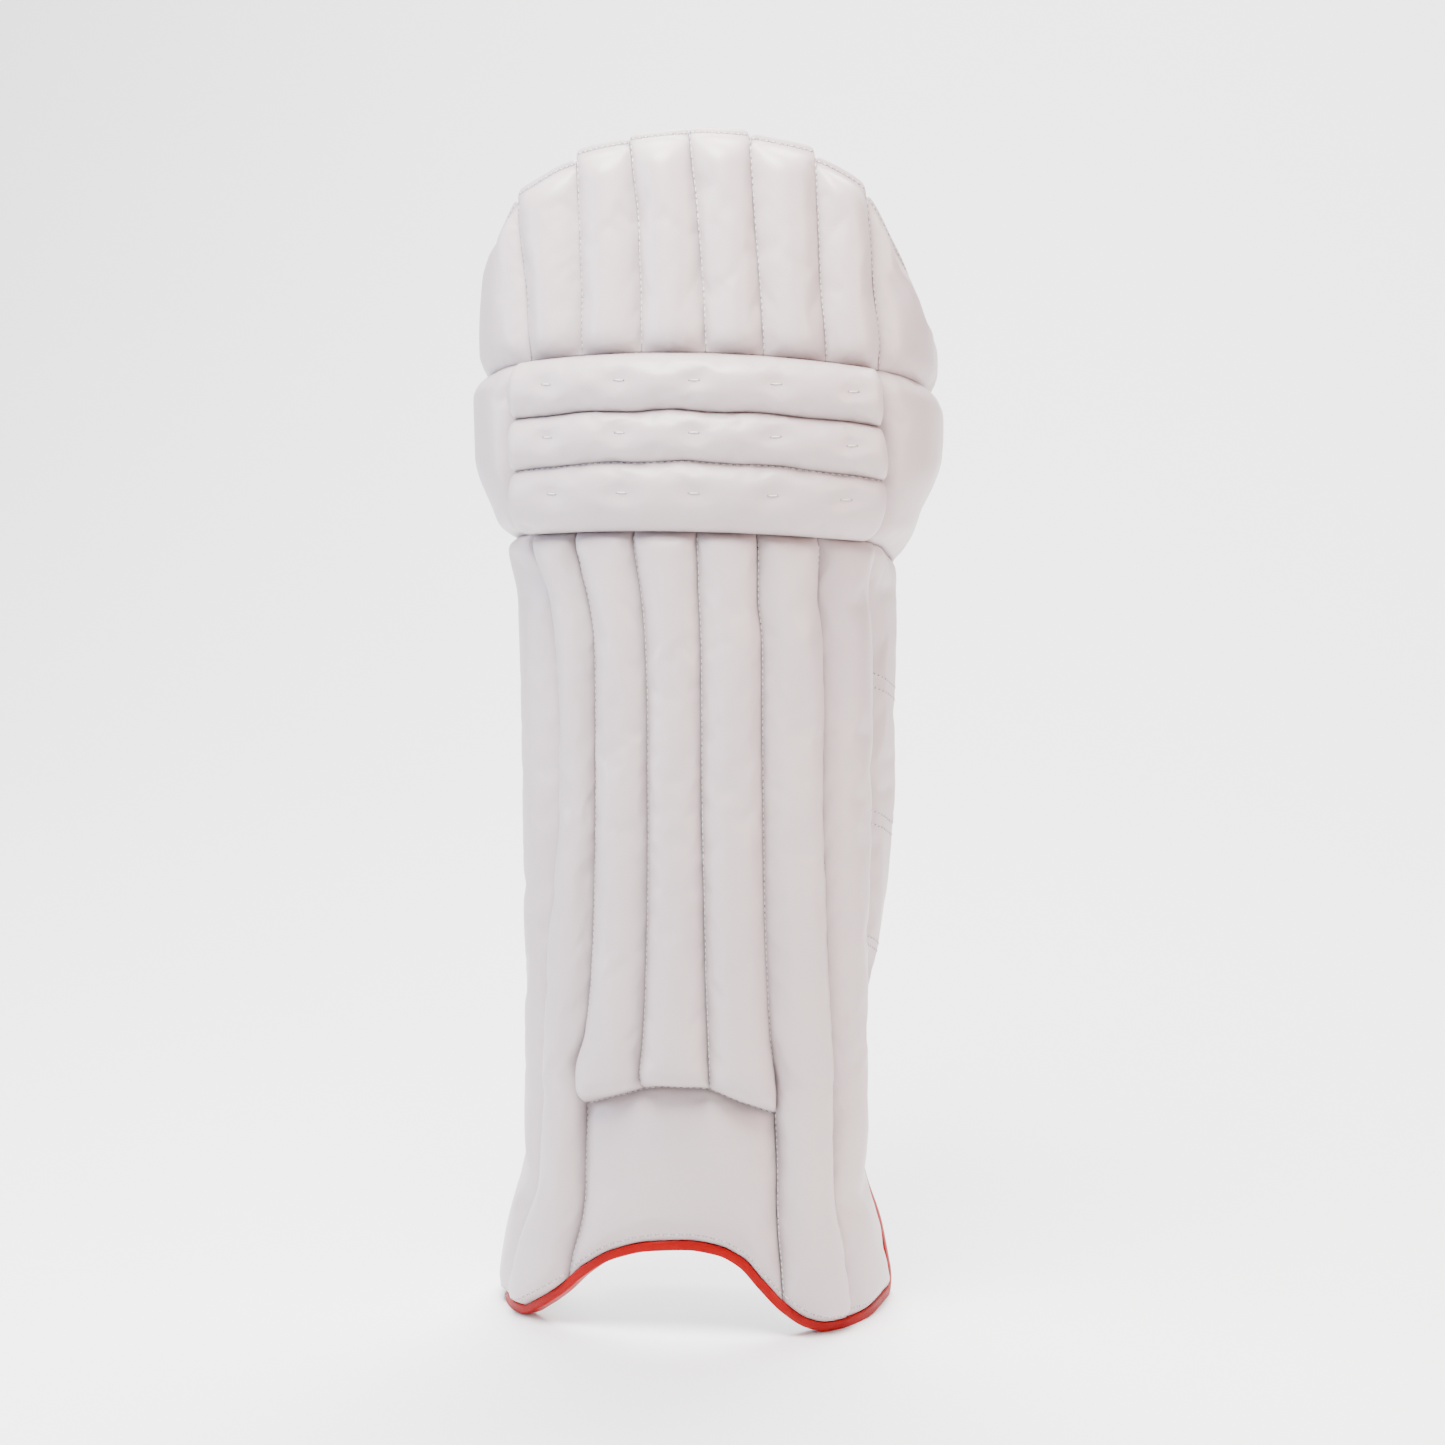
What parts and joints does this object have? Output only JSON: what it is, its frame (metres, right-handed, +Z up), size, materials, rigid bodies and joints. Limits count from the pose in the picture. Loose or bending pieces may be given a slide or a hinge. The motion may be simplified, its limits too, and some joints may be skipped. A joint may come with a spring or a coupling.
{
  "type": "cricket batting leg guard",
  "caption": "Left batting pad that stands on two lobes: padded upright shin rolls, level knee rolls and a ribbed top, open behind, with straps round the leg.",
  "frame": {"origin": "middle of the guard's bounding box, on the floor that its two lobes stand on", "axes": "+Z up, -Y the padded front, +X the outer side of the left leg (right of the viewer who faces the front)"},
  "size_m": [0.2722, 0.184, 0.6927],
  "materials": {
    "padded_face": "smooth white coated leather-look face with a soft sheen",
    "edge_binding": "glossy red coated binding",
    "inner_wall": "plain matt woven cloth",
    "webbing": "plain matt woven strap"
  },
  "bodies": {
    "root": {"top_flap_inner": "padded_face", "top_roll_1": "padded_face", "top_roll_2": "padded_face", "top_roll_3": "padded_face", "top_roll_4": "padded_face", "top_roll_5": "padded_face", "top_roll_6": "padded_face", "top_flap_outer": "padded_face", "knee_roll_bottom": "padded_face", "knee_roll_middle": "padded_face", "knee_roll_top": "padded_face", "knee_wing_inner": "padded_face", "knee_wing_outer": "padded_face", "shin_roll_1": "padded_face", "shin_roll_2": "padded_face", "shin_roll_3": "padded_face", "shin_roll_4": "padded_face", "shin_roll_5": "padded_face", "shin_roll_6": "padded_face", "shin_roll_7": "padded_face", "instep_panel": "padded_face", "calf_wing": "padded_face", "back_wall": "inner_wall", "edge_binding": "edge_binding", "ankle_strap": "webbing", "calf_strap": "webbing", "knee_strap": "webbing"}
  },
  "joints": []
}
